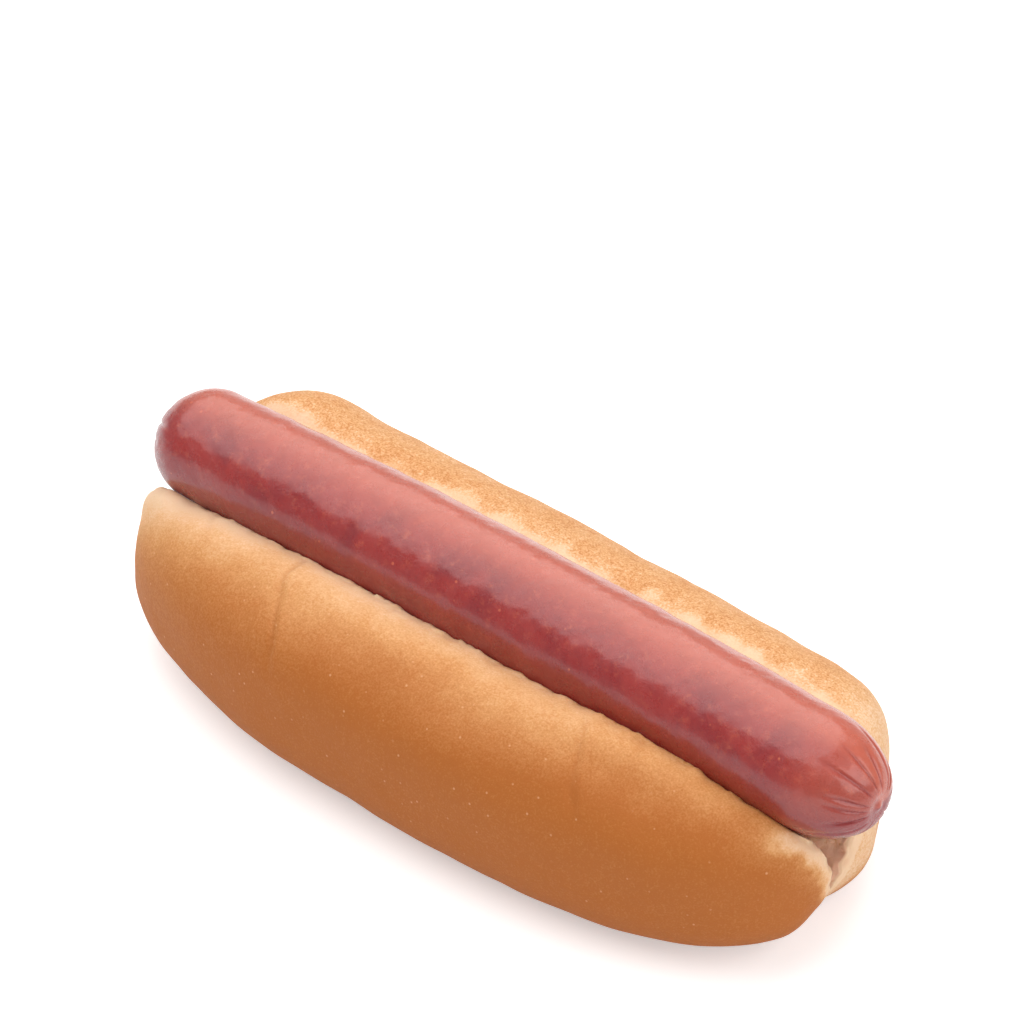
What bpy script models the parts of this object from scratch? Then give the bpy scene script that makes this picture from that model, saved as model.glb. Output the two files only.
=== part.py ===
"""Hot dog: a frankfurter lying in a soft roll that is slit open along its top.

Metres, +Z up, +X along the roll. The roll is one solid, its two halves still joined by
the hinge of bread under the slit. The sausage lies in the slit and leans on both halves.
The origin is under the middle of the whole, on the surface that the roll rests on.
"""

import math

import bmesh
import bpy
from mathutils import Vector

MM = 0.001

# The roll. The near half (-Y) and the far half (+Y) were baked as one loaf and differ a
# little, as soft bread does: each has its own length, width and squareness at the ends.
LOAF_HEIGHT_OF_WIDEST = 16.6 * MM
LOAF_RISE_ABOVE_WIDEST = 21.2 * MM
LOAF_DEPTH_BELOW_WIDEST = 18.9 * MM
LOAF_MIDDLE_Y = -0.7 * MM
SECTION_SQUARENESS_ACROSS = 2.5
SECTION_SQUARENESS_UP = 2.9
NEAR_HALF = {
    "middle": -2.4 * MM, "length": 75.1 * MM, "width": 32.6 * MM, "end_square": 3.1, "narrowing": 0.10,
}
FAR_HALF = {
    "middle": -4.3 * MM, "length": 74.6 * MM, "width": 34.0 * MM, "end_square": 9.5, "narrowing": 0.03,
}
HALVES_BLEND = 11.0 * MM

# The sausage: a straight frankfurter with a slight bow and two unlike ends.
SAUSAGE_RADIUS = 11.3 * MM
SAUSAGE_LEFT_TIP = -77.2 * MM
SAUSAGE_RIGHT_TIP = 79.2 * MM
SAUSAGE_HEIGHT = 34.9 * MM
SAUSAGE_BOW_ACROSS = 0.7 * MM
SAUSAGE_BOW_UP = 0.4 * MM
SAUSAGE_YAW = 0.7 * MM
SAUSAGE_TAPER = 0.10
LEFT_CAP = {"length": 9.9 * MM, "roundness": 1.1}
RIGHT_CAP = {"length": 14.6 * MM, "roundness": 0.88}
TIP_ANGLE = math.radians(7)

# The slit: a V with its point at the hinge, a cradle round the sausage, and lips that
# roll outwards to the top of each half.
GAP = 0.3 * MM
HINGE_HEIGHT = 4.3 * MM
LIP_BELOW_MIDDLE = math.radians(9)
LIP_RISE = math.radians(32)
SHOULDER_WIDTH = 8.5 * MM
SHOULDER_HEIGHT = 3.9 * MM
CUTTER_TOP = 60.0 * MM
CUTTER_REACH = 95.0 * MM

# How finely the curved faces are cut up.
LOAF_CUTS = (28, 16, 10)
CAP_STEPS = 8
BODY_STEPS = 14
ARC_STEPS = 4
SLIT_STEPS = 12
SAUSAGE_BEVEL_STEPS = 10

CRUST_COLOUR = (0.60, 0.30, 0.10, 1.0)
SKIN_COLOUR = (0.32, 0.045, 0.022, 1.0)


def clear_scene():
    for old in list(bpy.data.objects):
        bpy.data.objects.remove(old, do_unlink=True)


def collection(name):
    made = bpy.data.collections.new(name)
    bpy.context.scene.collection.children.link(made)
    return made


def material(name, colour, roughness):
    made = bpy.data.materials.new(name)
    made.use_nodes = True
    shader = made.node_tree.nodes["Principled BSDF"]
    shader.inputs["Base Color"].default_value = colour
    shader.inputs["Roughness"].default_value = roughness
    shader.inputs["Metallic"].default_value = 0.0
    return made


def mesh_object(name, mesh, into):
    made = bpy.data.objects.new(name, mesh)
    into.objects.link(made)
    return made


def mesh_from_curve(curve_object):
    """The curve's mesh with its caps welded on. The curve itself is removed."""
    graph = bpy.context.evaluated_depsgraph_get()
    mesh = bpy.data.meshes.new_from_object(curve_object.evaluated_get(graph))
    mesh.transform(curve_object.matrix_world)
    shape = bmesh.new()
    shape.from_mesh(mesh)
    bmesh.ops.remove_doubles(shape, verts=shape.verts, dist=0.001 * MM)
    bmesh.ops.recalc_face_normals(shape, faces=shape.faces)
    shape.to_mesh(mesh)
    shape.free()
    bpy.data.objects.remove(curve_object, do_unlink=True)
    return mesh


def poly_spline(curve, points, cyclic=False):
    spline = curve.splines.new("POLY")
    spline.points.add(len(points) - 1)
    for held, point in zip(spline.points, points):
        held.co = (*point, 1.0)
    spline.use_cyclic_u = cyclic
    return spline


# ---------------------------------------------------------------- the loaf

def half_value(name, y):
    """A size of the near half turning smoothly into that of the far half round the middle."""
    far_share = 0.5 * (1.0 + math.tanh(y / HALVES_BLEND))
    return NEAR_HALF[name] * (1.0 - far_share) + FAR_HALF[name] * far_share


def outside_loaf(point):
    """True outside |x|^p + |y|^q + |z|^r = 1, each measured in the loaf's half sizes."""
    y = point.y - LOAF_MIDDLE_Y
    z = point.z - LOAF_HEIGHT_OF_WIDEST
    x = (point.x - half_value("middle", y)) / half_value("length", y)
    half = NEAR_HALF if y < 0 else FAR_HALF
    width = half["width"] * (1.0 - half["narrowing"] * min(1.0, abs(x)) ** 2)
    height = LOAF_RISE_ABOVE_WIDEST if z > 0 else LOAF_DEPTH_BELOW_WIDEST
    return (
        abs(x) ** half_value("end_square", y)
        + (abs(y) / width) ** SECTION_SQUARENESS_ACROSS
        + (abs(z) / height) ** SECTION_SQUARENESS_UP
    ) > 1.0


def onto_loaf(direction):
    """The point of the loaf's surface that lies in this direction from its middle."""
    middle = Vector((half_value("middle", 0.0), LOAF_MIDDLE_Y, LOAF_HEIGHT_OF_WIDEST))
    inner, outer = 0.0, 2.0
    for _ in range(40):
        tried = 0.5 * (inner + outer)
        if outside_loaf(middle + tried * direction):
            outer = tried
        else:
            inner = tried
    return middle + inner * direction


def loaf_mesh():
    """A cube cut into even squares, each corner pushed out to the loaf, with a flat base."""
    shape = bmesh.new()
    bmesh.ops.create_cube(shape, size=2.0)
    for axis, cuts in enumerate(LOAF_CUTS):
        along = [
            edge for edge in shape.edges
            if abs(edge.verts[0].co[axis] - edge.verts[1].co[axis]) > 1e-6
        ]
        bmesh.ops.subdivide_edges(shape, edges=along, cuts=cuts - 1, use_grid_fill=True)
    half_sizes = Vector((NEAR_HALF["length"], NEAR_HALF["width"], LOAF_RISE_ABOVE_WIDEST))
    for vert in shape.verts:
        even = Vector([math.tan(c * math.pi / 4) for c in vert.co])
        vert.co = onto_loaf(even * half_sizes)
    cut = bmesh.ops.bisect_plane(
        shape, geom=shape.verts[:] + shape.edges[:] + shape.faces[:], dist=0.01 * MM,
        plane_co=(0, 0, 0), plane_no=(0, 0, -1), clear_outer=True,
    )
    rim = [part for part in cut["geom_cut"] if isinstance(part, bmesh.types.BMEdge)]
    bmesh.ops.contextual_create(shape, geom=rim)
    bmesh.ops.recalc_face_normals(shape, faces=shape.faces)
    mesh = bpy.data.meshes.new("loaf")
    shape.to_mesh(mesh)
    shape.free()
    return mesh


# ---------------------------------------------------------------- the sausage and the slit

def sausage_axis(x):
    """The sausage's middle line: a little bow across and up, and a little yaw."""
    middle = 0.5 * (SAUSAGE_LEFT_TIP + SAUSAGE_RIGHT_TIP)
    share = (x - middle) / (0.5 * (SAUSAGE_RIGHT_TIP - SAUSAGE_LEFT_TIP))
    bow = 1.0 - share**2
    across = LOAF_MIDDLE_Y + SAUSAGE_BOW_ACROSS * bow + SAUSAGE_YAW * share
    return Vector((x, across, SAUSAGE_HEIGHT + SAUSAGE_BOW_UP * bow))


def cap_station(tip, cap, inwards, angle):
    """(x, share of the full radius) on an end's quarter oval, at this angle from the tip."""
    return tip + inwards * cap["length"] * (1 - math.cos(angle)), math.sin(angle) ** cap["roundness"]


def sausage_stations():
    """(x, share of the full radius) from tip to tip."""
    angles = [
        TIP_ANGLE + (math.pi / 2 - TIP_ANGLE) * step / CAP_STEPS
        for step in range(CAP_STEPS + 1)
    ]
    left = [cap_station(SAUSAGE_LEFT_TIP, LEFT_CAP, 1, angle) for angle in angles]
    right = [cap_station(SAUSAGE_RIGHT_TIP, RIGHT_CAP, -1, angle) for angle in reversed(angles)]
    start, end = left[-1][0], right[0][0]
    body = [(start + (end - start) * step / BODY_STEPS, 1.0) for step in range(1, BODY_STEPS)]
    middle = 0.5 * (SAUSAGE_LEFT_TIP + SAUSAGE_RIGHT_TIP)
    half = 0.5 * (SAUSAGE_RIGHT_TIP - SAUSAGE_LEFT_TIP)
    return [
        (x, share * (1.0 - SAUSAGE_TAPER * ((x - middle) / half) ** 2))
        for x, share in left + body + right
    ]


def make_sausage(into):
    curve = bpy.data.curves.new("sausage_line", "CURVE")
    curve.dimensions = "3D"
    stations = sausage_stations()
    spline = poly_spline(curve, [sausage_axis(x) for x, _ in stations])
    for held, (_, share) in zip(spline.points, stations):
        held.radius = share
    curve.bevel_depth = SAUSAGE_RADIUS
    curve.bevel_resolution = SAUSAGE_BEVEL_STEPS
    curve.use_fill_caps = True
    line = bpy.data.objects.new("sausage_line", curve)
    into.objects.link(line)
    bpy.context.view_layer.update()
    made = mesh_object("sausage", mesh_from_curve(line), into)
    made.data.shade_smooth()
    made.data.materials.append(material("sausage_skin", SKIN_COLOUR, 0.3))
    return made


def slit_half_outline():
    """(across, up) points of one side of the slit, from the hinge to above the roll.

    A straight cut face runs from the hinge to where it touches the sausage, an arc
    cradles the sausage up to the lip, and a quarter oval rolls out to the roll's top.
    """
    reach = SAUSAGE_RADIUS + GAP
    rise = SAUSAGE_HEIGHT - HINGE_HEIGHT
    touch = math.asin(reach / rise)
    angles = [
        -touch + (touch - LIP_BELOW_MIDDLE) * step / ARC_STEPS for step in range(ARC_STEPS + 1)
    ]
    outline = [(0.0, HINGE_HEIGHT)]
    outline += [(reach * math.cos(a), SAUSAGE_HEIGHT + reach * math.sin(a)) for a in angles]
    lip_across, lip_up = outline[-1]
    for step in range(1, ARC_STEPS + 1):
        turn = LIP_RISE + (math.pi / 2 - LIP_RISE) * step / ARC_STEPS
        outline.append((
            lip_across + SHOULDER_WIDTH * (1 - math.cos(turn) / math.cos(LIP_RISE)),
            lip_up + SHOULDER_HEIGHT * (1 - (1 - math.sin(turn)) / (1 - math.sin(LIP_RISE))),
        ))
    outline.append((outline[-1][0] + 2 * SHOULDER_WIDTH, outline[-1][1] + 0.5 * SHOULDER_HEIGHT))
    outline.append((outline[-1][0], CUTTER_TOP))
    return outline


def make_slit_cutter(into):
    """The slit's outline carried along the sausage's line, past both ends of the roll."""
    half = slit_half_outline()
    outline = half + [(-across, up) for across, up in reversed(half[1:])]
    profile = bpy.data.curves.new("slit_outline", "CURVE")
    poly_spline(profile, [(-across, up - SAUSAGE_HEIGHT, 0.0) for across, up in outline], cyclic=True)
    profile_object = bpy.data.objects.new("slit_outline", profile)
    into.objects.link(profile_object)
    path = bpy.data.curves.new("slit_line", "CURVE")
    path.dimensions = "3D"
    path.twist_mode = "Z_UP"
    stops = [CUTTER_REACH * (2 * step / SLIT_STEPS - 1) for step in range(SLIT_STEPS + 1)]
    poly_spline(path, [sausage_axis(x) for x in stops])
    path.bevel_mode = "OBJECT"
    path.bevel_object = profile_object
    path.use_fill_caps = True
    line = bpy.data.objects.new("slit_line", path)
    into.objects.link(line)
    bpy.context.view_layer.update()
    cutter = mesh_object("slit_cutter", mesh_from_curve(line), into)
    bpy.data.objects.remove(profile_object, do_unlink=True)
    cutter.hide_render = True
    cutter.display_type = "WIRE"
    return cutter


def make_bun(into, cutter):
    made = mesh_object("bun", loaf_mesh(), into)
    made.data.materials.append(material("bread_crust", CRUST_COLOUR, 0.7))
    slit = made.modifiers.new("slit", "BOOLEAN")
    slit.operation = "DIFFERENCE"
    slit.solver = "EXACT"
    slit.object = cutter
    made.data.shade_smooth()
    made.data.set_sharp_from_angle(angle=math.radians(40))
    return made


def main():
    clear_scene()
    parts = collection("hot_dog")
    cutters = collection("cutters")
    make_bun(parts, make_slit_cutter(cutters))
    make_sausage(parts)


main()
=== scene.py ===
"""Hot dog: a glossy frankfurter in a browned soft roll, on a plain white floor.

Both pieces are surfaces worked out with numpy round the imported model, in its frame:
metres, +Z up, +X along the roll, -Y the half of the roll nearest the camera.
"""

import math

import bpy
import numpy as np
from bpy.props import FloatProperty, FloatVectorProperty, PointerProperty
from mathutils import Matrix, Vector


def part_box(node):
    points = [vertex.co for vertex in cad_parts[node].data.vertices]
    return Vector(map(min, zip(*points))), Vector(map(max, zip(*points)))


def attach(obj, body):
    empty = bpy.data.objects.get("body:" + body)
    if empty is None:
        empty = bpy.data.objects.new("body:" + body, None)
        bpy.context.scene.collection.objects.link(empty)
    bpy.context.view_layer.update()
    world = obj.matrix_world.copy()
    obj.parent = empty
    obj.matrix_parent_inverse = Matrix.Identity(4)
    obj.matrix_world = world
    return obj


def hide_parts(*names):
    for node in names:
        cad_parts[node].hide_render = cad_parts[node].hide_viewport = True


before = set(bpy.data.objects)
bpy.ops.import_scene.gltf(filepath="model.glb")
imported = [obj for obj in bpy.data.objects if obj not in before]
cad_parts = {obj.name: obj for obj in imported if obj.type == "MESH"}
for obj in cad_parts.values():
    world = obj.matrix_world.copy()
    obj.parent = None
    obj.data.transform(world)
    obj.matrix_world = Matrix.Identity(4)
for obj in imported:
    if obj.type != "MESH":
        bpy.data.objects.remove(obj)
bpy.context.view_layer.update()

bl_info = {
    "name": "Hot Dog Maker",
    "version": (1, 0, 0),
    "blender": (4, 5, 0),
    "location": "3D View > Sidebar > Hot Dog",
    "description": "Makes a frankfurter in a slit soft roll, and a plain stage for it",
    "category": "Object",
}

MM = 0.001
BUN_LOW, BUN_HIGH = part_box("bun")
SAUSAGE_LOW, SAUSAGE_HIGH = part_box("sausage")
ROLL_MIDDLE_X = 0.5 * (BUN_LOW.x + BUN_HIGH.x)
ROLL_HALF_LENGTH = 0.5 * (BUN_HIGH.x - BUN_LOW.x)
MIDDLE_Y = -0.7 * MM


# ---------------------------------------------------------------- settings


def distance(name, description, default):
    return FloatProperty(
        name=name, description=description, default=default, subtype="DISTANCE", unit="LENGTH", precision=5
    )


def share(name, description, default):
    return FloatProperty(name=name, description=description, default=default, soft_min=0.0, soft_max=1.0)


def number(name, description, default):
    return FloatProperty(name=name, description=description, default=default, min=0.0)


def angle(name, description, degrees):
    return FloatProperty(
        name=name, description=description, default=math.radians(degrees), subtype="ANGLE", unit="ROTATION"
    )


def colour(name, description, red, green, blue):
    """A colour given as display values from 0 to 255, held as the linear values that shaders read."""
    linear = [((c / 255 + 0.055) / 1.055) ** 2.4 if c > 10.3 else c / 255 / 12.92 for c in (red, green, blue)]
    return FloatVectorProperty(
        name=name, description=description, default=linear, size=3, subtype="COLOR", min=0.0, max=1.0
    )


class SausageSettings(bpy.types.PropertyGroup):
    """Sizes and colours of the frankfurter."""

    radius: distance("Radius", "Radius at the middle of the sausage", 11.22 * MM)
    left_tip: distance("Left tip", "Where the sausage starts along the roll", SAUSAGE_LOW.x - 0.05 * MM)
    right_tip: distance("Right tip", "Where the sausage ends along the roll", SAUSAGE_HIGH.x)
    height: distance("Height", "Height of the sausage's middle line", 34.9 * MM)
    bow_across: distance("Bow across", "How far the middle bows away from the near side", 0.7 * MM)
    bow_up: distance("Bow up", "How far the middle bows upwards", 0.4 * MM)
    yaw: distance("Yaw", "How far the right tip lies further from the near side", 0.7 * MM)
    taper: share("Taper", "Share of the radius that is lost towards the ends", 0.10)
    left_cap: distance("Left cap", "Length of the rounding at the left end", 9.9 * MM)
    right_cap: distance("Right cap", "Length of the rounding at the right end", 14.6 * MM)
    unevenness: distance("Unevenness", "Height of the slow swells of the skin", 0.09 * MM)
    crease_depth: distance("Crease depth", "Depth of the creases gathered at the ends", 0.65 * MM)
    skin: colour("Skin", "Main colour of the skin", 166, 47, 43)
    # Also the colour of the painted shade on the lower side and in the creases.
    skin_deep_and_painted_shade: colour("Deep skin", "Darker patches of the skin", 144, 33, 38)
    # Also the colour of the painted light on the upper side and at the right end.
    skin_pale_and_painted_light: colour("Pale skin", "Paler patches and the upper side", 212, 107, 78)
    roughness: share("Roughness", "Roughness of the moist skin", 0.30)


class RollSettings(bpy.types.PropertyGroup):
    """Sizes and colours of the roll."""

    widest_height: distance("Height of widest", "Height at which the roll is widest", 16.6 * MM)
    rise: distance("Rise", "Height of the closed roll above its widest line", 21.2 * MM)
    depth: distance("Depth", "Depth of the closed roll below its widest line", 18.9 * MM)
    near_width: distance("Near width", "Width of the near half", MIDDLE_Y - BUN_LOW.y - 0.1 * MM)
    far_width: distance("Far width", "Width of the far half", BUN_HIGH.y - MIDDLE_Y - 0.2 * MM)
    hinge_height: distance("Hinge height", "Height of the bottom of the slit", 4.3 * MM)
    lip_drop: angle("Lip drop", "How far below level each lip meets the sausage", 9.0)
    crust_swell: distance("Crust swell", "Height of the slow swells of the crust", 0.16 * MM)
    crumb_relief: distance("Crumb relief", "Height of the torn crumb's relief", 0.14 * MM)
    lip_colour: colour("Lip", "Unbrowned crust beside the slit", 246, 209, 172)
    pale_colour: colour("Pale crust", "Lightly baked crust", 233, 180, 129)
    golden_colour: colour("Golden crust", "Golden crust", 217, 152, 92)
    brown_colour: colour("Brown crust", "Orange-brown crust of the sides", 198, 124, 62)
    # Also the colour of the painted shade in the folds of the near crust.
    dark_crust_and_fold_shade: colour("Dark crust", "Darkest crust, low on the sides", 184, 104, 38)
    crumb_colour: colour("Crumb", "Soft bread inside the roll", 250, 208, 178)
    roughness: share("Roughness", "Roughness of the crust", 0.62)


class StageSettings(bpy.types.PropertyGroup):
    """The camera, the floor and the lights."""

    azimuth: angle("Azimuth", "Camera direction round the hot dog", 40.4)
    elevation: angle("Elevation", "Camera direction above the horizon", 38.95)
    camera_distance: distance("Camera distance", "From the camera to the point it looks at", 0.918)
    aim_x: distance("Aim along", "Point of the floor that the camera looks at, along the roll", -43.2 * MM)
    aim_y: distance("Aim across", "Point of the floor that the camera looks at, across the roll", 52.0 * MM)
    lens: number("Lens", "Focal length in millimetres", 175.7)
    key_power: number("Key power", "Power of the large soft light, in watts", 25.0)
    side_power: number("Side power", "Power of the soft light at the right, in watts", 7.5)
    world_strength: share("Surroundings", "Strength of the even light from all round", 0.32)


# ---------------------------------------------------------------- numpy helpers


def smooth(low, high, value):
    """0 below low, 1 above high, and an S curve between them."""
    t = np.clip((value - low) / (high - low), 0.0, 1.0)
    return t * t * (3.0 - 2.0 * t)


def bump_at(value, middle, width):
    """A bell curve of height 1 round middle."""
    return np.exp(-(((value - middle) / width) ** 2))


def swells(points, size, seed, waves=28):
    """Smooth random relief of about unit height: a sum of sine waves that run in random
    directions through space, each about size long."""
    random = np.random.default_rng(seed)
    total = np.zeros(points.shape[:-1])
    for _ in range(waves):
        way = random.normal(size=3)
        way *= 2.0 * math.pi / (size * random.uniform(0.7, 1.5) * np.linalg.norm(way))
        total += np.sin(points @ way + random.uniform(0.0, 2.0 * math.pi))
    return total * math.sqrt(2.0 / waves)


def surface_mesh(name, points, index):
    """A mesh over a grid of points whose rows are closed rings, and the numbers of the points
    it uses. index holds the grid's vertex numbers, in which places that are one point, such as
    a pole, share a number. Corners that repeat are left out."""
    over = np.roll(index, -1, axis=1)
    quads = np.stack([index[:-1], index[1:], over[1:], over[:-1]], axis=-1).reshape(-1, 4)
    new_corner = quads != np.roll(quads, 1, axis=1)
    sides = new_corner.sum(axis=1)
    folded = (quads[:, 0] == quads[:, 2]) | (quads[:, 1] == quads[:, 3])
    kept = (sides >= 3) & ~folded
    quads, new_corner, sides = quads[kept], new_corner[kept], sides[kept]
    used, corners = np.unique(quads[new_corner], return_inverse=True)
    mesh = bpy.data.meshes.new(name)
    mesh.vertices.add(len(used))
    mesh.vertices.foreach_set("co", points[used].astype(np.float32).ravel())
    mesh.loops.add(len(corners))
    mesh.loops.foreach_set("vertex_index", corners.astype(np.int32).ravel())
    mesh.polygons.add(len(quads))
    mesh.polygons.foreach_set("loop_start", (np.cumsum(sides) - sides).astype(np.int32))
    mesh.update(calc_edges=True)
    if mesh.validate():
        raise RuntimeError(f"the surface {name} has faulty faces")
    mesh.shade_smooth()
    return mesh, used


def add_share(mesh, name, values):
    """Keeps one number per vertex, for a material to read."""
    made = mesh.attributes.new(name, "FLOAT", "POINT")
    made.data.foreach_set("value", np.clip(values, 0.0, 1.0).astype(np.float32))


def show(name, mesh, material, node):
    """Puts a finished piece into the scene: it rides on the food and stands for its node."""
    piece = bpy.data.objects.new(name, mesh)
    bpy.context.scene.collection.objects.link(piece)
    mesh.materials.append(material)
    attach(piece, "root")
    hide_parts(node)
    return piece


# ---------------------------------------------------------------- the sausage's shape


def sausage_line(settings, x):
    """Height and place across of the sausage's middle line: a parabola's bow and a slight yaw."""
    middle = 0.5 * (settings.left_tip + settings.right_tip)
    part = (x - middle) / (0.5 * (settings.right_tip - settings.left_tip))
    bow = 1.0 - part**2
    return MIDDLE_Y + settings.bow_across * bow + settings.yaw * part, settings.height + settings.bow_up * bow


def sausage_radius(settings, x):
    """The body's radius, without the rounding of the ends: it shrinks with the square of the
    distance from the middle."""
    middle = 0.5 * (settings.left_tip + settings.right_tip)
    part = (x - middle) / (0.5 * (settings.right_tip - settings.left_tip))
    return settings.radius * (1.0 - settings.taper * np.clip(np.abs(part), 0.0, 1.0) ** 2)


# Each end's radius is a power of a sine: above 1 the end is more pointed, below 1 it is fuller.
LEFT_ROUNDNESS = 1.1
RIGHT_ROUNDNESS = 0.88
CAP_STATIONS = 84
BODY_STATIONS = 240
SKIN_ANGLES = 240
LEFT_CREASES, LEFT_CREASE_REACH = 13, 8.0 * MM
RIGHT_CREASES, RIGHT_CREASE_REACH = 15, 13.0 * MM


def gathered_creases(around, from_tip, count, reach, seed):
    """Creases that run to a knot: narrow valleys at uneven angles, each with its own length,
    deepest a little way from the knot. Returns 0 to 1."""
    random = np.random.default_rng(seed)
    valleys = np.zeros(around.shape)
    for i in range(count):
        at = 2.0 * math.pi * (i + random.uniform(-0.32, 0.32)) / count
        length = reach * random.uniform(0.45, 1.0)
        bend = random.uniform(-0.25, 0.25)
        apart = np.angle(np.exp(1j * (around - at - bend * from_tip / reach)))
        width = random.uniform(0.035, 0.065)
        fade = smooth(1.0, 0.35, from_tip / length) * smooth(0.0, 0.10, from_tip / reach)
        strength = random.uniform(0.45, 1.0)
        valleys = np.maximum(valleys, strength * fade * np.exp(-((apart / width) ** 2)))
    return valleys


def sausage_surface(settings):
    """Rings of points from tip to tip. Each end is a quarter oval in the angle from its tip;
    the skin's swells and the gathered creases move each point in or out along its ring's radius,
    and a dimple round the knot pulls the tip back along the sausage. Returns the points, their
    numbers, and from 0 to 1 how creased each point is, which also sets the painted shade of the
    creases, how much painted light its colour takes on the upper side and at the right end, and
    how much painted shade on the lower side."""
    quarter = np.linspace(0.0, 0.5 * math.pi, CAP_STATIONS)
    left_x = settings.left_tip + settings.left_cap * (1.0 - np.cos(quarter))
    right_x = settings.right_tip - settings.right_cap * (1.0 - np.cos(quarter[::-1]))
    body_x = np.linspace(left_x[-1], right_x[0], BODY_STATIONS)[1:-1]
    stations = np.concatenate([left_x, body_x, right_x])
    roundness = np.concatenate([
        np.sin(quarter) ** LEFT_ROUNDNESS,
        np.ones(len(body_x)),
        np.sin(quarter[::-1]) ** RIGHT_ROUNDNESS,
    ])
    around = np.linspace(0.0, 2.0 * math.pi, SKIN_ANGLES, endpoint=False)
    x, turn = np.meshgrid(stations, around, indexing="ij")
    radius = (sausage_radius(settings, stations) * roundness)[:, None] * np.ones_like(turn)
    across, up = sausage_line(settings, stations)
    place = np.stack([x, radius * np.cos(turn), radius * np.sin(turn)], axis=-1)
    filled = smooth(0.15, 0.75, roundness)[:, None]
    relief = settings.unevenness * (
        0.7 * swells(place, 26 * MM, 11)
        + 0.30 * swells(place, 6 * MM, 12)
        + 0.16 * swells(place, 2.2 * MM, 13)
    ) * filled
    creases = gathered_creases(turn, settings.right_tip - x, RIGHT_CREASES, RIGHT_CREASE_REACH, 21)
    creases = creases + gathered_creases(turn, x - settings.left_tip, LEFT_CREASES, LEFT_CREASE_REACH, 22)
    relief -= settings.crease_depth * creases
    radius = radius + relief * smooth(0.0, 0.25, roundness)[:, None]
    knot = 0.9 * bump_at(radius, 0.0, 2.4 * MM) - 0.7 * bump_at(radius, 0.0, 0.9 * MM)
    inwards = np.where(x > 0.0, -1.0, 1.0)
    ends = smooth(0.999, 0.6, roundness)[:, None]
    x = x + inwards * knot * MM * ends
    points = np.stack([
        x,
        across[:, None] + radius * np.cos(turn),
        up[:, None] + radius * np.sin(turn),
    ], axis=-1)
    index = np.arange(points.shape[0] * points.shape[1]).reshape(points.shape[:2])
    index[0], index[-1] = index[0, 0], index[-1, 0]
    # Painted light: the upper side and the cap at the right end are painted paler, in the pale skin colour,
    # standing in for the light that falls on them.
    upper = smooth(-0.70, 0.15, np.cos(turn)) * smooth(-0.2, 0.5, np.sin(turn))
    upper = np.maximum(upper, 0.55 * smooth(62 * MM, 74 * MM, x) * smooth(-0.5, 0.6, np.sin(turn)))
    # Painted shade: the lower side, against the bread, is painted in the deep skin colour.
    lower = smooth(0.65, -0.1, np.sin(turn))
    return points, index[:, ::-1], creases, upper, lower


# ---------------------------------------------------------------- the roll's shape

FAN_STATIONS = 58
STRAIGHT_STATIONS = 172
BASE_ROWS = 12
NEAR_MOTTLING = 0.30
NEAR_ROWS = 120
FAR_ROWS = 92
CUT_ROWS = 34
BASE_TILT = math.radians(-14)
SHOULDER_SPREAD = math.radians(15)
SHOULDER_SHARE = 0.125
LEFT_FAN = -62.0 * MM
RIGHT_FAN = 54.0 * MM
CUT_SLOPE = math.radians(21.5)
LIP_GAP = 0.06 * MM
SKIN_GAP = 0.05 * MM
LONGEST_RAY = 0.12
HALVINGS = 30
NEAR_END_POWER, FAR_END_POWER = 3.1, 9.5
ACROSS_POWER, UP_POWER = 2.5, 2.9
# Each fold of the near crust: place along the roll in mm, its slant in mm a degree below the
# lip, the degrees below the lip where it starts and ends, and its depth in mm.
NEAR_FOLDS = (
    (-35.4, 0.27, 1.0, 33.0, 0.42),
    (27.8, 0.34, 5.0, 30.0, 0.34),
    (-55.6, 0.20, 2.0, 11.0, 0.22),
    (38.6, 0.25, 1.0, 9.0, 0.28),
    (-14.5, 0.30, 0.0, 6.5, 0.20),
    (8.0, 0.22, 0.0, 5.0, 0.20),
)
DEEPEST_FOLD = max(fold[-1] for fold in NEAR_FOLDS)


def half_blend(near, far, y, width=11.0 * MM):
    """A size of the near half turning smoothly into that of the far half."""
    part = 0.5 * (1.0 + np.tanh(y / width))
    return near * (1.0 - part) + far * part


def outside_loaf(settings, points):
    """Above 0 outside the closed loaf: |x|^p + |y|^q + |z|^r - 1, each in the loaf's half sizes,
    with different sizes for the near and the far half and above and below the widest line."""
    y = points[..., 1] - MIDDLE_Y
    z = points[..., 2] - settings.widest_height
    near_middle, far_middle = ROLL_MIDDLE_X + 0.9 * MM, ROLL_MIDDLE_X - 1.0 * MM
    length = half_blend(ROLL_HALF_LENGTH, ROLL_HALF_LENGTH - 0.5 * MM, y)
    x = (points[..., 0] - half_blend(near_middle, far_middle, y)) / length
    narrowing = np.where(y < 0.0, 0.10, 0.03) * np.clip(np.abs(x), 0.0, 1.0) ** 2
    width = np.where(y < 0.0, settings.near_width, settings.far_width) * (1.0 - narrowing)
    height = np.where(z > 0.0, settings.rise, settings.depth)
    return (
        np.abs(x) ** half_blend(NEAR_END_POWER, FAR_END_POWER, y)
        + (np.abs(y) / width) ** ACROSS_POWER
        + (np.abs(z) / height) ** UP_POWER
        - 1.0
    )


def reach_of_loaf(settings, start, way):
    """How far the loaf's surface is from start along way, by halving the interval again and again."""
    inner = np.zeros(way.shape[:-1])
    outer = np.full(way.shape[:-1], LONGEST_RAY)
    for _ in range(HALVINGS):
        tried = 0.5 * (inner + outer)
        within = outside_loaf(settings, start + tried[..., None] * way) < 0.0
        inner = np.where(within, tried, inner)
        outer = np.where(within, outer, tried)
    return inner


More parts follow.
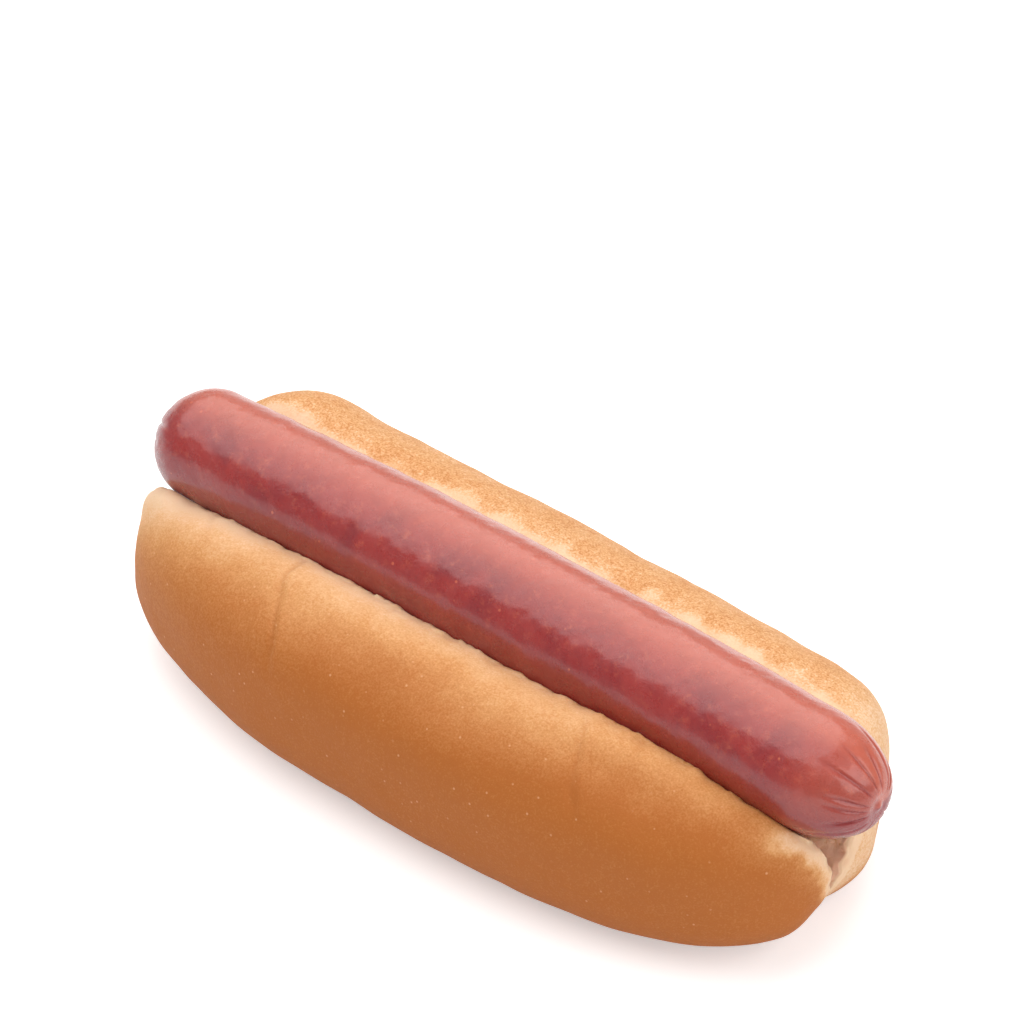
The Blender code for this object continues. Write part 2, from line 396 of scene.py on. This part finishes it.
def slit_stations():
    """(place along the roll, fan angle) of each station: a quarter fan at the left end of the
    hinge, a straight run, and a quarter fan at the right end."""
    fan = np.linspace(0.0, 0.5 * math.pi, FAN_STATIONS + 1)
    straight = np.linspace(LEFT_FAN, RIGHT_FAN, STRAIGHT_STATIONS + 1)[1:-1]
    along = np.concatenate([np.full(len(fan), LEFT_FAN), straight, np.full(len(fan), RIGHT_FAN)])
    turn = np.concatenate([-fan[::-1], np.zeros(len(straight)), fan])
    return along, turn


def crust_tilts(rows, lip_tilt):
    """Elevations of a half's crust rows, from straight down to the lip."""
    base = np.linspace(-0.5 * math.pi, BASE_TILT, BASE_ROWS, endpoint=False)
    return np.concatenate([base, np.linspace(BASE_TILT, lip_tilt, rows)])


def end_fullness(side, along, turn, tilt, from_lip):
    """How much each ray lengthens, as a share: the near half is fuller beside the lip towards
    both ends and drawn in below it at the left end, the far half's right corner is rounder, and
    both halves are cut back at the right end of the slit."""
    fan, lean, off_lip = np.degrees(turn), np.degrees(tilt), np.degrees(from_lip)
    if side < 0.0:
        left = 0.085 * smooth(2.0, -12.0, fan) * smooth(-44.0, -22.0, fan) * smooth(15.0, 0.0, off_lip)
        left -= 0.10 * smooth(-14.0, -34.0, fan) * smooth(-85.0, -62.0, fan) * bump_at(off_lip, 24.0, 15.0)
        right = 0.055 * smooth(15 * MM, 42 * MM, along) * smooth(70.0, 40.0, fan) * smooth(16.0, 0.0, off_lip)
        return left + right - 0.14 * smooth(52.0, 80.0, fan)
    corner = -0.105 * bump_at(fan, 26.0, 17.0) * bump_at(lean, 24.0, 20.0)
    return corner - 0.14 * smooth(50.0, 80.0, fan)


def end_shift(side, crust, turn, from_lip):
    """How far each point moves beyond that: the near half's right end leans into the slit, and
    the far half's crest swells near its left end."""
    shift = np.zeros_like(crust)
    off_lip, fan = np.degrees(from_lip), np.degrees(turn)
    if side < 0.0:
        lobe = smooth(2.0, 30.0, fan) * smooth(74.0, 38.0, fan) * smooth(26.0, 0.0, off_lip)
        shift[..., 0] = 1.5 * MM * lobe
        shift[..., 1] = 2.2 * MM * lobe
    else:
        x = crust[..., 0]
        crest = smooth(0.0, 10.0, off_lip) * smooth(60.0, 25.0, off_lip)
        shift[..., 2] = 1.9 * MM * bump_at(x, -63.0 * MM, 7.5 * MM) * crest
    return shift


def half_crust(settings, sausage, side, rows):
    """The crust of one half, station by station, as rays from the hinge. Each ray is as long
    as the loaf's surface is far, and towards the lip the rays shorten, so that the shoulder
    rolls down to the sausage. Returns each ray's start, direction and length, its angle below
    the lip, and its turn towards the roll's ends."""
    along, turn = slit_stations()
    across, up = sausage_line(sausage, along)
    radius = sausage_radius(sausage, along) + LIP_GAP
    lip_tilt = np.arctan2(
        up - radius * math.sin(settings.lip_drop) - settings.hinge_height,
        radius * math.cos(settings.lip_drop),
    )
    tilt = np.stack([crust_tilts(rows, one) for one in lip_tilt])
    turn = turn[:, None] * np.ones_like(tilt)
    way = np.stack([
        np.sin(turn),
        side * np.cos(turn) * np.cos(tilt),
        np.cos(turn) * np.sin(tilt),
    ], axis=-1)
    start = np.stack([along, across, np.full(len(along), settings.hinge_height)], axis=-1)[:, None, :]
    far = reach_of_loaf(settings, start, way)
    from_lip = lip_tilt[:, None] - tilt
    shoulder = SHOULDER_SHARE * np.cos(turn) * (1.0 - np.clip(from_lip / SHOULDER_SPREAD, 0.0, 1.0)) ** 2.2
    far = far * (1.0 - shoulder + end_fullness(side, along[:, None], turn, tilt, from_lip))
    return start, way, far, from_lip, turn


def crust_relief(settings, points, from_lip, turn):
    """Slow swells of the crust, finer ripples, and beside the lip the small scallops of the cut,
    which are strongest round the right end of the slit."""
    relief = settings.crust_swell * (
        swells(points, 38 * MM, 31)
        + 0.45 * swells(points, 13 * MM, 32)
        + 0.12 * swells(points, 4.5 * MM, 33)
    )
    lip = bump_at(from_lip, 0.0, math.radians(2.4))
    relief += 0.22 * MM * lip * (swells(points, 4.2 * MM, 34) + 0.8 * swells(points, 1.6 * MM, 35))
    relief *= np.cos(turn) ** 0.5
    fan, off_lip = np.degrees(turn), np.degrees(from_lip)
    ragged = smooth(4.0, 24.0, fan) * smooth(80.0, 50.0, fan) * smooth(5.0, 0.0, off_lip)
    return relief + 0.34 * MM * ragged * (swells(points, 3.4 * MM, 36) + 0.6 * swells(points, 1.5 * MM, 37))


def near_folds(points, from_lip):
    """Soft folds down the near crust: each a line that slants away from the lip, with a groove
    along it and a swelling beside it. Returns the relief and how deep in a fold, 0 to 1, which
    sets the painted shade of the folds."""
    off_lip = np.degrees(from_lip)
    relief = np.zeros(from_lip.shape)
    inside = np.zeros(from_lip.shape)
    wander = 0.5 * MM * swells(points, 9 * MM, 71)
    for place, slant, first, last, depth in NEAR_FOLDS:
        beyond = points[..., 0] - (place + slant * off_lip) * MM + wander
        length = smooth(first - 2.0, first + 2.0, off_lip) * smooth(last + 7.0, last - 7.0, off_lip)
        groove = np.exp(-((beyond / (0.55 * MM)) ** 2)) * length
        rising = smooth(0.0, 1.2 * MM, beyond)
        swelling = np.where(beyond > 0.0, rising * np.exp(-beyond / (7.0 * MM)), 0.0)
        relief += depth * MM * (0.75 * swelling * length - groove)
        inside = np.maximum(inside, groove * depth / DEEPEST_FOLD)
    return relief, inside


def half_cut(settings, start, lip, side, seed):
    """The cut face of one half: straight from lip to hinge, with the crumb's relief on it."""
    part = np.linspace(1.0, 0.0, CUT_ROWS + 1)[1:-1]
    face = start + part[None, :, None] * (lip[:, None, :] - start)
    outwards = np.array([0.0, -side * math.cos(CUT_SLOPE), math.sin(CUT_SLOPE)])
    edge = smooth(0.0, 0.2, part) * smooth(1.0, 0.9, part)
    relief = settings.crumb_relief * (
        0.8 * swells(face, 6 * MM, seed) + 0.7 * swells(face, 2.6 * MM, seed + 1)
    ) * edge[None, :]
    return face + relief[..., None] * outwards


def clear_of_sausage(sausage, points, gap):
    """Moves points that are inside the sausage straight out to its skin, plus a gap. The skin
    is taken as plain, without its swells."""
    across, up = sausage_line(sausage, points[..., 0])
    clear = sausage_radius(sausage, points[..., 0]) + gap
    from_line = np.stack([points[..., 1] - across, points[..., 2] - up], axis=-1)
    apart = np.linalg.norm(from_line, axis=-1)
    scale = np.maximum(1.0, clear / np.maximum(apart, 1e-9))
    moved = points.copy()
    moved[..., 1] = across + from_line[..., 0] * scale
    moved[..., 2] = up + from_line[..., 1] * scale
    return moved


def roll_surface(settings, sausage):
    """Rings of points round the roll, from one end of the slit to the other. A ring goes up the
    near crust, down the near cut face to the hinge, up the far cut face and down the far crust.
    Returns the points, their numbers, how many of a ring lie on the crust and on a cut face,
    each half's angles below the lip, and how deep in a fold each point is."""
    halves = []
    for side, rows, seed in ((-1.0, NEAR_ROWS, 41), (1.0, FAR_ROWS, 51)):
        start, way, far, from_lip, turn = half_crust(settings, sausage, side, rows)
        plain = start + far[..., None] * way
        far = far + crust_relief(settings, plain, from_lip, turn)
        if side < 0.0:
            folds, near_folded = near_folds(plain, from_lip)
            far = far + folds
        down = np.maximum(-way[..., 2], 1e-9)
        far = np.minimum(far, settings.hinge_height / down)
        crust = start + far[..., None] * way
        crust += end_shift(side, crust, turn, from_lip)
        crust[0], crust[-1] = crust[0, 0], crust[-1, 0]
        cut = half_cut(settings, start, crust[:, -1], side, seed)
        halves.append((crust, cut, from_lip))
    (near, near_cut, near_from), (far, far_cut, far_from) = halves
    points = np.concatenate([near, near_cut, start, far_cut[:, ::-1], far[:, :0:-1]], axis=1)
    points = clear_of_sausage(sausage, points, SKIN_GAP)
    kinds = {"near": near.shape[1], "cut": near_cut.shape[1]}
    index = np.arange(points.shape[0] * points.shape[1]).reshape(points.shape[:2])
    for end in (0, -1):
        row = index[end]
        pole = row[0]
        row[: kinds["near"]] = pole
        row[kinds["near"] + 2 * kinds["cut"] + 1:] = pole
        near_cut_part = row[kinds["near"]: kinds["near"] + kinds["cut"]]
        row[kinds["near"] + kinds["cut"] + 1: kinds["near"] + 2 * kinds["cut"] + 1] = near_cut_part[::-1]
    creased = np.zeros(points.shape[:2])
    creased[:, :kinds["near"]] = near_folded
    return points, index, kinds, near_from, far_from, creased


def browning(points, kinds, near_from, far_from):
    """From 0 to 1, how baked each point is, how much of it is open crumb, and how mottled its
    crust is. The near half browns from the lip down and towards its right end, with a torn pale
    patch there; the far half has a pale band along the lip."""
    n, c = kinds["near"], kinds["cut"]
    shape = points.shape[:2]
    from_lip = np.zeros(shape)
    from_lip[:, :n] = near_from
    from_lip[:, n + 2 * c + 1:] = far_from[:, :0:-1]
    crumb = np.zeros(shape)
    crumb[:, n: n + 2 * c + 1] = 1.0
    near = np.zeros(shape, bool)
    near[:, :n] = True
    x = points[..., 0]
    patch = swells(points, 24 * MM, 61)
    fine = swells(points, 6 * MM, 62)
    degrees = np.degrees(from_lip)
    near_brown = smooth(-8.0, 36.0, degrees + 0.7 * fine + 1.2 * patch)
    near_brown += 0.35 * smooth(-5 * MM, 62 * MM, x)
    near_brown -= 0.22 * smooth(-20 * MM, -75 * MM, x) * smooth(60.0, 25.0, degrees)
    torn = smooth(63 * MM, 69 * MM, x) * smooth(12.0, 2.0, degrees + 1.6 * fine + swells(points, 2 * MM, 63))
    near_brown = near_brown * (1.0 - 0.9 * torn)
    far_brown = 0.04 + 0.38 * smooth(5.0, 9.8, degrees + 1.0 * fine + 0.5 * patch)
    far_brown += 0.5 * smooth(32.0, 75.0, degrees)
    far_brown -= 0.25 * smooth(50 * MM, 64 * MM, x) * smooth(60.0, 30.0, degrees)
    baked = np.where(near, near_brown, far_brown)
    return baked, crumb, np.where(near, NEAR_MOTTLING, 1.0)


# ---------------------------------------------------------------- materials


class Nodes:
    """Short ways to add nodes to a material."""

    # A Mix node's sockets for two colours and for the mixed colour, which share their names
    # with its sockets for numbers.
    FIRST_COLOUR, SECOND_COLOUR, MIXED_COLOUR = 6, 7, 2

    def __init__(self, material):
        self.tree = material.node_tree
        self.shader = self.tree.nodes["Principled BSDF"]

    def add(self, kind, inputs=None, **settings):
        made = self.tree.nodes.new("ShaderNode" + kind)
        for key, value in settings.items():
            setattr(made, key, value)
        for key, value in (inputs or {}).items():
            self.feed(made.inputs[key], value)
        return made

    def feed(self, socket, value):
        if isinstance(value, bpy.types.NodeSocket):
            self.tree.links.new(value, socket)
        else:
            socket.default_value = value

    def place(self):
        return self.add("TexCoord").outputs["Object"]

    def share(self, name):
        return self.add("Attribute", attribute_name=name).outputs["Fac"]

    def noise(self, size, detail=3.0, roughness=0.55, distortion=0.0):
        """Noise whose features are about size metres across, from 0 to 1."""
        return self.add("TexNoise", {
            "Vector": self.place(), "Scale": 1.0 / size, "Detail": detail,
            "Roughness": roughness, "Distortion": distortion,
        }).outputs["Fac"]

    def dots(self, spacing, outer, inner):
        """Round dots about spacing metres apart: 0 outside outer, 1 inside inner, as shares of
        the spacing."""
        cells = self.add("TexVoronoi", {
            "Vector": self.place(), "Scale": 1.0 / spacing, "Randomness": 1.0,
        })
        return self.spread(cells.outputs["Distance"], outer, inner)

    def maths(self, operation, first, second=0.0, third=None):
        made = self.add("Math", operation=operation)
        self.feed(made.inputs[0], first)
        self.feed(made.inputs[1], second)
        if third is not None:
            self.feed(made.inputs[2], third)
        return made.outputs[0]

    def spread(self, value, low, high, to_low=0.0, to_high=1.0):
        """value from low to high, mapped to to_low to to_high on a smooth curve."""
        return self.add("MapRange", {
            "Value": value, "From Min": low, "From Max": high, "To Min": to_low, "To Max": to_high,
        }, interpolation_type="SMOOTHSTEP").outputs["Result"]

    def mix(self, how_much, first, second):
        """From the first colour to the second."""
        made = self.add("Mix", data_type="RGBA")
        self.feed(made.inputs["Factor"], how_much)
        self.feed(made.inputs[self.FIRST_COLOUR], first)
        self.feed(made.inputs[self.SECOND_COLOUR], second)
        return made.outputs[self.MIXED_COLOUR]

    def ramp(self, value, stops):
        made = self.add("ValToRGB", {"Fac": value})
        elements = made.color_ramp.elements
        while len(elements) < len(stops):
            elements.new(0.5)
        for held, (at, paint) in zip(elements, stops):
            held.position = at
            held.color = paint
        return made.outputs["Color"]

    def bump(self, height, depth, strength=1.0, normal=None):
        """A bump whose full height is depth metres."""
        inputs = {"Height": height, "Distance": depth, "Strength": strength}
        if normal:
            inputs["Normal"] = normal
        return self.add("Bump", inputs).outputs["Normal"]


def opaque(paint):
    return (*paint, 1.0)


def new_material(name):
    material = bpy.data.materials.new(name)
    material.use_nodes = True
    return material, Nodes(material)


def bread_material(settings):
    """Baked crust that runs from cream to orange-brown by the browning share, speckled where
    it is baked, with painted shade in the folds of the near crust, and open crumb where the
    crumb share is high."""
    material, nodes = new_material("bread")
    baked = nodes.share("baked")
    crumb = nodes.share("crumb")
    # How deep in a fold: it sets the painted shade of the folds.
    crease = nodes.share("crease")
    cloud = nodes.noise(7 * MM, 3.0)
    grain = nodes.noise(1.1 * MM, 3.0, 0.65)
    fine = nodes.noise(0.36 * MM, 2.0, 0.6)
    mottled = nodes.share("mottled")
    browned = nodes.spread(baked, 0.05, 0.30, 0.30, 1.0)
    graininess = nodes.maths("MULTIPLY", browned, nodes.spread(mottled, 0.0, 1.0, 0.30, 1.0))
    cloud_part = nodes.maths("MULTIPLY", nodes.maths("SUBTRACT", cloud, 0.5), mottled)
    varied = nodes.maths("MULTIPLY_ADD", cloud_part, 0.35, baked)
    grain_part = nodes.maths("MULTIPLY", nodes.maths("SUBTRACT", grain, 0.5), graininess)
    varied = nodes.maths("MULTIPLY_ADD", grain_part, 0.60, varied)
    fine_part = nodes.maths("MULTIPLY", nodes.maths("SUBTRACT", fine, 0.5), graininess)
    varied = nodes.maths("MULTIPLY_ADD", fine_part, 1.30, varied)
    crust_paint = nodes.ramp(varied, [
        (0.0, opaque(settings.lip_colour)),
        (0.25, opaque(settings.pale_colour)),
        (0.50, opaque(settings.golden_colour)),
        (0.75, opaque(settings.brown_colour)),
        (1.0, opaque(settings.dark_crust_and_fold_shade)),
    ])
    dot = nodes.dots(2.6 * MM, 0.115, 0.04)
    chosen = nodes.spread(nodes.noise(3.0 * MM, 2.0), 0.36, 0.56)
    dot = nodes.maths("MULTIPLY", nodes.maths("MULTIPLY", dot, chosen), 0.55)
    crust_paint = nodes.mix(dot, crust_paint, opaque(settings.pale_colour))
    # Painted shade: the folds of the near crust are darkened towards the dark crust colour.
    crust_paint = nodes.mix(nodes.maths("MULTIPLY", crease, 0.30), crust_paint, opaque(settings.dark_crust_and_fold_shade))
    pores = nodes.noise(1.6 * MM, 4.0, 0.7, distortion=0.4)
    solid = nodes.spread(pores, 0.28, 0.50)
    crumb_paint = nodes.mix(solid, opaque(settings.pale_colour), opaque(settings.crumb_colour))
    nodes.feed(nodes.shader.inputs["Base Color"], nodes.mix(crumb, crust_paint, crumb_paint))
    nodes.shader.inputs["Roughness"].default_value = settings.roughness
    nodes.shader.inputs["Specular IOR Level"].default_value = 0.35
    nodes.shader.inputs["Subsurface Weight"].default_value = 0.12
    nodes.shader.inputs["Subsurface Radius"].default_value = (1.0, 0.45, 0.2)
    nodes.shader.inputs["Subsurface Scale"].default_value = 2.0 * MM
    crust_height = nodes.maths("MULTIPLY_ADD", fine, 0.5, grain)
    crust_bump = nodes.bump(crust_height, 0.12 * MM, 0.7)
    crumb_bump = nodes.bump(nodes.maths("MULTIPLY", pores, crumb), 0.5 * MM, 0.6, crust_bump)
    nodes.feed(nodes.shader.inputs["Normal"], crumb_bump)
    return material


def skin_material(settings):
    """Moist sausage skin: patches of deeper and paler red, small pits and specks, painted shade on
    the lower side and in the creases, painted light on the upper side and at the right end, and a
    thin wet coat whose gloss is broken by fine relief."""
    material, nodes = new_material("sausage_skin")
    creases = nodes.share("crease")
    patches = nodes.noise(9 * MM, 4.0, 0.6, distortion=0.6)
    mottle = nodes.noise(1.8 * MM, 4.0, 0.65)
    paint = nodes.mix(nodes.spread(patches, 0.35, 0.68), opaque(settings.skin), opaque(settings.skin_deep_and_painted_shade))
    paint = nodes.mix(nodes.spread(mottle, 0.50, 0.80, 0.0, 0.45), paint, opaque(settings.skin_pale_and_painted_light))
    # Painted shade: the lower side is darkened towards the deep skin colour.
    paint = nodes.mix(nodes.maths("MULTIPLY", nodes.share("lower"), 0.75), paint, opaque(settings.skin_deep_and_painted_shade))
    # Painted light: the upper side and the right end's cap are painted paler.
    paint = nodes.mix(nodes.maths("MULTIPLY", nodes.share("upper"), 0.70), paint, opaque(settings.skin_pale_and_painted_light))
    speck = nodes.dots(4.2 * MM, 0.085, 0.045)
    paint = nodes.mix(nodes.maths("MULTIPLY", speck, 0.75), paint, opaque(settings.skin_pale_and_painted_light))
    # Painted shade: the creases are painted in the deep skin colour.
    paint = nodes.mix(nodes.maths("MULTIPLY", creases, 0.9), paint, opaque(settings.skin_deep_and_painted_shade))
    nodes.feed(nodes.shader.inputs["Base Color"], paint)
    gloss = nodes.noise(2.4 * MM, 4.0, 0.6)
    shine = nodes.spread(gloss, 0.35, 0.70, settings.roughness - 0.06, settings.roughness + 0.10)
    nodes.feed(nodes.shader.inputs["Roughness"], shine)
    nodes.shader.inputs["IOR"].default_value = 1.45
    nodes.shader.inputs["Coat Weight"].default_value = 0.8
    nodes.shader.inputs["Coat IOR"].default_value = 1.55
    nodes.shader.inputs["Coat Roughness"].default_value = 0.20
    nodes.shader.inputs["Subsurface Weight"].default_value = 0.10
    nodes.shader.inputs["Subsurface Radius"].default_value = (1.0, 0.30, 0.20)
    nodes.shader.inputs["Subsurface Scale"].default_value = 1.5 * MM
    wrinkle = nodes.bump(nodes.noise(2.4 * MM, 6.0, 0.70, distortion=0.8), 0.30 * MM, 0.75)
    pits = nodes.bump(nodes.noise(0.7 * MM, 3.0, 0.6), 0.05 * MM, 0.5, wrinkle)
    nodes.feed(nodes.shader.inputs["Normal"], pits)
    return material


def floor_material():
    """Plain white floor, lifted to full white for the camera where no shadow falls."""
    material, nodes = new_material("white_floor")
    nodes.shader.inputs["Base Color"].default_value = (0.92, 0.92, 0.92, 1.0)
    nodes.shader.inputs["Roughness"].default_value = 0.9
    nodes.shader.inputs["Specular IOR Level"].default_value = 0.0
    seen = nodes.add("LightPath").outputs["Is Camera Ray"]
    nodes.shader.inputs["Emission Color"].default_value = (1.0, 1.0, 1.0, 1.0)
    nodes.feed(nodes.shader.inputs["Emission Strength"], nodes.maths("MULTIPLY", seen, 0.42))
    return material


# ---------------------------------------------------------------- operators

FLOOR_HALF = 3.0
FLOOR_DROP = 0.05 * MM
# Each soft light: its name, place, lean about the across axis in degrees, width and height.
KEY_LIGHT = ("key", (-0.50, 0.40, 1.15), -22.0, 1.6, 3.0)
SIDE_LIGHT = ("side", (0.95, 0.0, 0.80), 50.0, 0.9, 1.4)


class HOTDOG_OT_sausage(bpy.types.Operator):
    """Makes the frankfurter: a bowed round body, with creases gathered at both ends."""

    bl_idname = "hot_dog.sausage"
    bl_label = "Sausage"

    def execute(self, context):
        settings = context.scene.hot_dog_sausage
        points, index, creases, upper, lower = sausage_surface(settings)
        mesh, used = surface_mesh("sausage_skin", points.reshape(-1, 3), index)
        add_share(mesh, "crease", creases.ravel()[used])
        # upper carries the painted light of the upper side and the right end, lower the painted shade of the
        # lower side.
        add_share(mesh, "upper", upper.ravel()[used])
        add_share(mesh, "lower", lower.ravel()[used])
        show("frankfurter", mesh, skin_material(settings), "sausage")
        return {"FINISHED"}


class HOTDOG_OT_roll(bpy.types.Operator):
    """Makes the roll: two browned halves, the cut faces of the slit and the hinge under it."""

    bl_idname = "hot_dog.roll"
    bl_label = "Roll"

    def execute(self, context):
        settings, sausage = context.scene.hot_dog_roll, context.scene.hot_dog_sausage
        points, index, kinds, near_from, far_from, creased = roll_surface(settings, sausage)
        baked, crumb, mottled = browning(points, kinds, near_from, far_from)
        mesh, used = surface_mesh("bread", points.reshape(-1, 3), index)
        add_share(mesh, "baked", baked.ravel()[used])
        add_share(mesh, "crumb", crumb.ravel()[used])
        add_share(mesh, "mottled", mottled.ravel()[used])
        add_share(mesh, "crease", creased.ravel()[used])
        show("soft_roll", mesh, bread_material(settings), "bun")
        return {"FINISHED"}


class HOTDOG_OT_stage(bpy.types.Operator):
    """Makes the floor, the camera, the soft lights and the surroundings."""

    bl_idname = "hot_dog.stage"
    bl_label = "Stage"

    def execute(self, context):
        settings = context.scene.hot_dog_stage
        self.make_floor(context)
        self.make_camera(context, settings)
        self.make_lights(context, settings)
        context.scene.view_settings.view_transform = "Standard"
        return {"FINISHED"}

    def make_floor(self, context):
        """A square 6 m wide, a hair under the roll."""
        half, under = FLOOR_HALF, -FLOOR_DROP
        corners = [(-half, -half, under), (half, -half, under), (half, half, under), (-half, half, under)]
        mesh = bpy.data.meshes.new("floor")
        mesh.from_pydata(corners, [], [(0, 1, 2, 3)])
        floor = bpy.data.objects.new("floor", mesh)
        context.scene.collection.objects.link(floor)
        mesh.materials.append(floor_material())

    def make_camera(self, context, settings):
        turn, rise = settings.azimuth, settings.elevation
        back = Vector((math.sin(turn) * math.cos(rise), -math.cos(turn) * math.cos(rise), math.sin(rise)))
        data = bpy.data.cameras.new("camera")
        data.sensor_width = 36.0
        data.lens = settings.lens
        data.clip_start, data.clip_end = 0.01, 20.0
        camera = bpy.data.objects.new("camera", data)
        context.scene.collection.objects.link(camera)
        camera.location = Vector((settings.aim_x, settings.aim_y, 0.0)) + back * settings.camera_distance
        camera.rotation_euler = (-back).to_track_quat("-Z", "Y").to_euler()
        context.scene.camera = camera

    def make_lights(self, context, settings):
        self.area(context, *KEY_LIGHT, settings.key_power)
        self.area(context, *SIDE_LIGHT, settings.side_power)
        world = bpy.data.worlds.new("surroundings")
        world.use_nodes = True
        background = world.node_tree.nodes["Background"]
        background.inputs["Color"].default_value = (1.0, 1.0, 1.0, 1.0)
        background.inputs["Strength"].default_value = settings.world_strength
        context.scene.world = world

    def area(self, context, name, place, lean, width, height, power):
        data = bpy.data.lights.new(name, "AREA")
        data.shape = "RECTANGLE"
        data.size, data.size_y = width, height
        data.energy = power
        light = bpy.data.objects.new(name, data)
        context.scene.collection.objects.link(light)
        light.location = place
        light.rotation_euler = (0.0, math.radians(lean), 0.0)


class HOTDOG_PT_maker(bpy.types.Panel):
    """Lists the hot dog's operators and settings."""

    bl_idname = "HOTDOG_PT_maker"
    bl_label = "Hot Dog"
    bl_space_type = "VIEW_3D"
    bl_region_type = "UI"
    bl_category = "Hot Dog"

    def draw(self, context):
        layout = self.layout
        for operator, group in (
            (HOTDOG_OT_sausage, context.scene.hot_dog_sausage),
            (HOTDOG_OT_roll, context.scene.hot_dog_roll),
            (HOTDOG_OT_stage, context.scene.hot_dog_stage),
        ):
            box = layout.box()
            box.operator(operator.bl_idname)
            for name in group.bl_rna.properties.keys():
                if name not in ("rna_type", "name"):
                    box.prop(group, name)


CLASSES = (
    SausageSettings,
    RollSettings,
    StageSettings,
    HOTDOG_OT_sausage,
    HOTDOG_OT_roll,
    HOTDOG_OT_stage,
    HOTDOG_PT_maker,
)


def register():
    for one in CLASSES:
        bpy.utils.register_class(one)
    bpy.types.Scene.hot_dog_sausage = PointerProperty(type=SausageSettings)
    bpy.types.Scene.hot_dog_roll = PointerProperty(type=RollSettings)
    bpy.types.Scene.hot_dog_stage = PointerProperty(type=StageSettings)


def unregister():
    del bpy.types.Scene.hot_dog_stage
    del bpy.types.Scene.hot_dog_roll
    del bpy.types.Scene.hot_dog_sausage
    for one in reversed(CLASSES):
        bpy.utils.unregister_class(one)


def main():
    register()
    bpy.ops.hot_dog.stage()
    bpy.ops.hot_dog.roll()
    bpy.ops.hot_dog.sausage()


if __name__ == "__main__":
    main()
